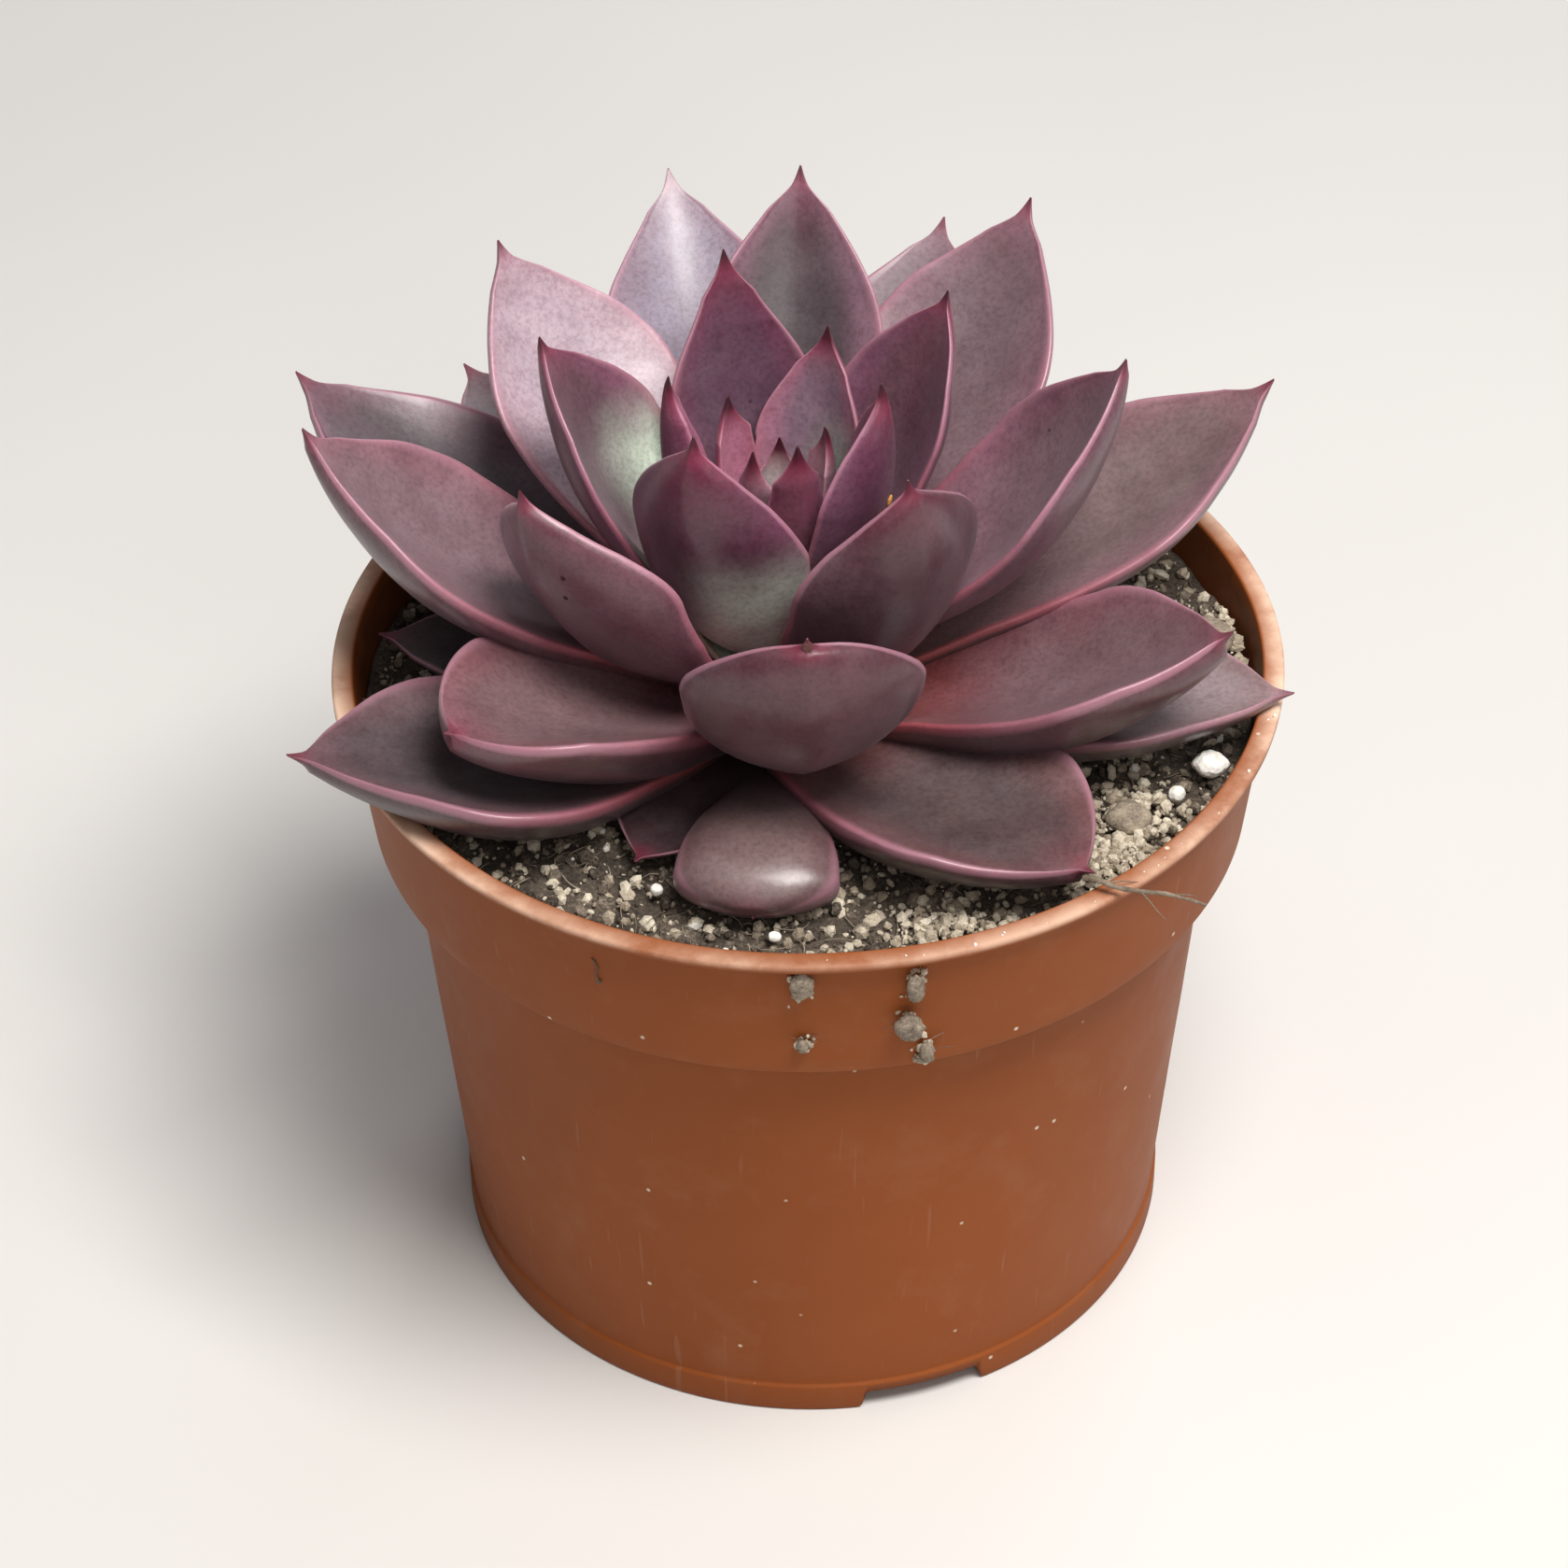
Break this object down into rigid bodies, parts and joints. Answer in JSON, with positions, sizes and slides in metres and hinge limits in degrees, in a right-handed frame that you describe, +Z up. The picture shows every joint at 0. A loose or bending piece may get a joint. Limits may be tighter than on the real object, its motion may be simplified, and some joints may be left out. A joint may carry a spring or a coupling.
{
  "type": "potted succulent",
  "caption": "Rosette succulent with fleshy pointed purple leaves growing in soil in a round terracotta-coloured plastic nursery pot that stands on a foot ring.",
  "frame": {"origin": "centre of the whole object's box, on the surface that the pot stands on", "axes": "+Z up; -Y is the front, +X to the right seen from the front"},
  "size_m": [0.125, 0.127, 0.1375],
  "materials": {
    "pot_plastic": "moulded, dull satin, lightly scratched",
    "potting_soil": "loose dark peat",
    "plant_stem": "green to tan stem",
    "leaf_flesh": "waxy satin skin, purple with pink edges",
    "perlite": "rough white grain",
    "dry_peat": "dry brown crumb",
    "dry_root": "dry brown fibre"
  },
  "bodies": {
    "root": {"pot": "pot_plastic", "soil": "potting_soil", "stem": "plant_stem", "leaf_01": "leaf_flesh", "leaf_02": "leaf_flesh", "leaf_03": "leaf_flesh", "leaf_04": "leaf_flesh", "leaf_05": "leaf_flesh", "leaf_06": "leaf_flesh", "leaf_07": "leaf_flesh", "leaf_08": "leaf_flesh", "leaf_09": "leaf_flesh", "leaf_10": "leaf_flesh", "leaf_11": "leaf_flesh", "leaf_12": "leaf_flesh", "leaf_13": "leaf_flesh", "leaf_14": "leaf_flesh", "leaf_15": "leaf_flesh", "leaf_16": "leaf_flesh", "leaf_17": "leaf_flesh", "leaf_18": "leaf_flesh", "leaf_19": "leaf_flesh", "leaf_20": "leaf_flesh", "leaf_21": "leaf_flesh", "leaf_22": "leaf_flesh", "leaf_23": "leaf_flesh", "leaf_24": "leaf_flesh", "leaf_25": "leaf_flesh", "leaf_26": "leaf_flesh", "leaf_27": "leaf_flesh", "leaf_28": "leaf_flesh", "leaf_29": "leaf_flesh", "leaf_30": "leaf_flesh", "leaf_31": "leaf_flesh", "leaf_32": "leaf_flesh", "leaf_33": "leaf_flesh", "leaf_34": "leaf_flesh", "leaf_35": "leaf_flesh", "leaf_36": "leaf_flesh", "perlite_large": "perlite", "perlite_side": "perlite", "perlite_front": "perlite", "perlite_small": "perlite", "peat_lump_back": "dry_peat", "peat_lump_side": "dry_peat", "crumb_top_left": "dry_peat", "crumb_top_right": "dry_peat", "crumb_middle": "dry_peat", "crumb_low": "dry_peat", "crumb_left_low": "dry_peat", "root_thread": "dry_root"}
  },
  "joints": []
}
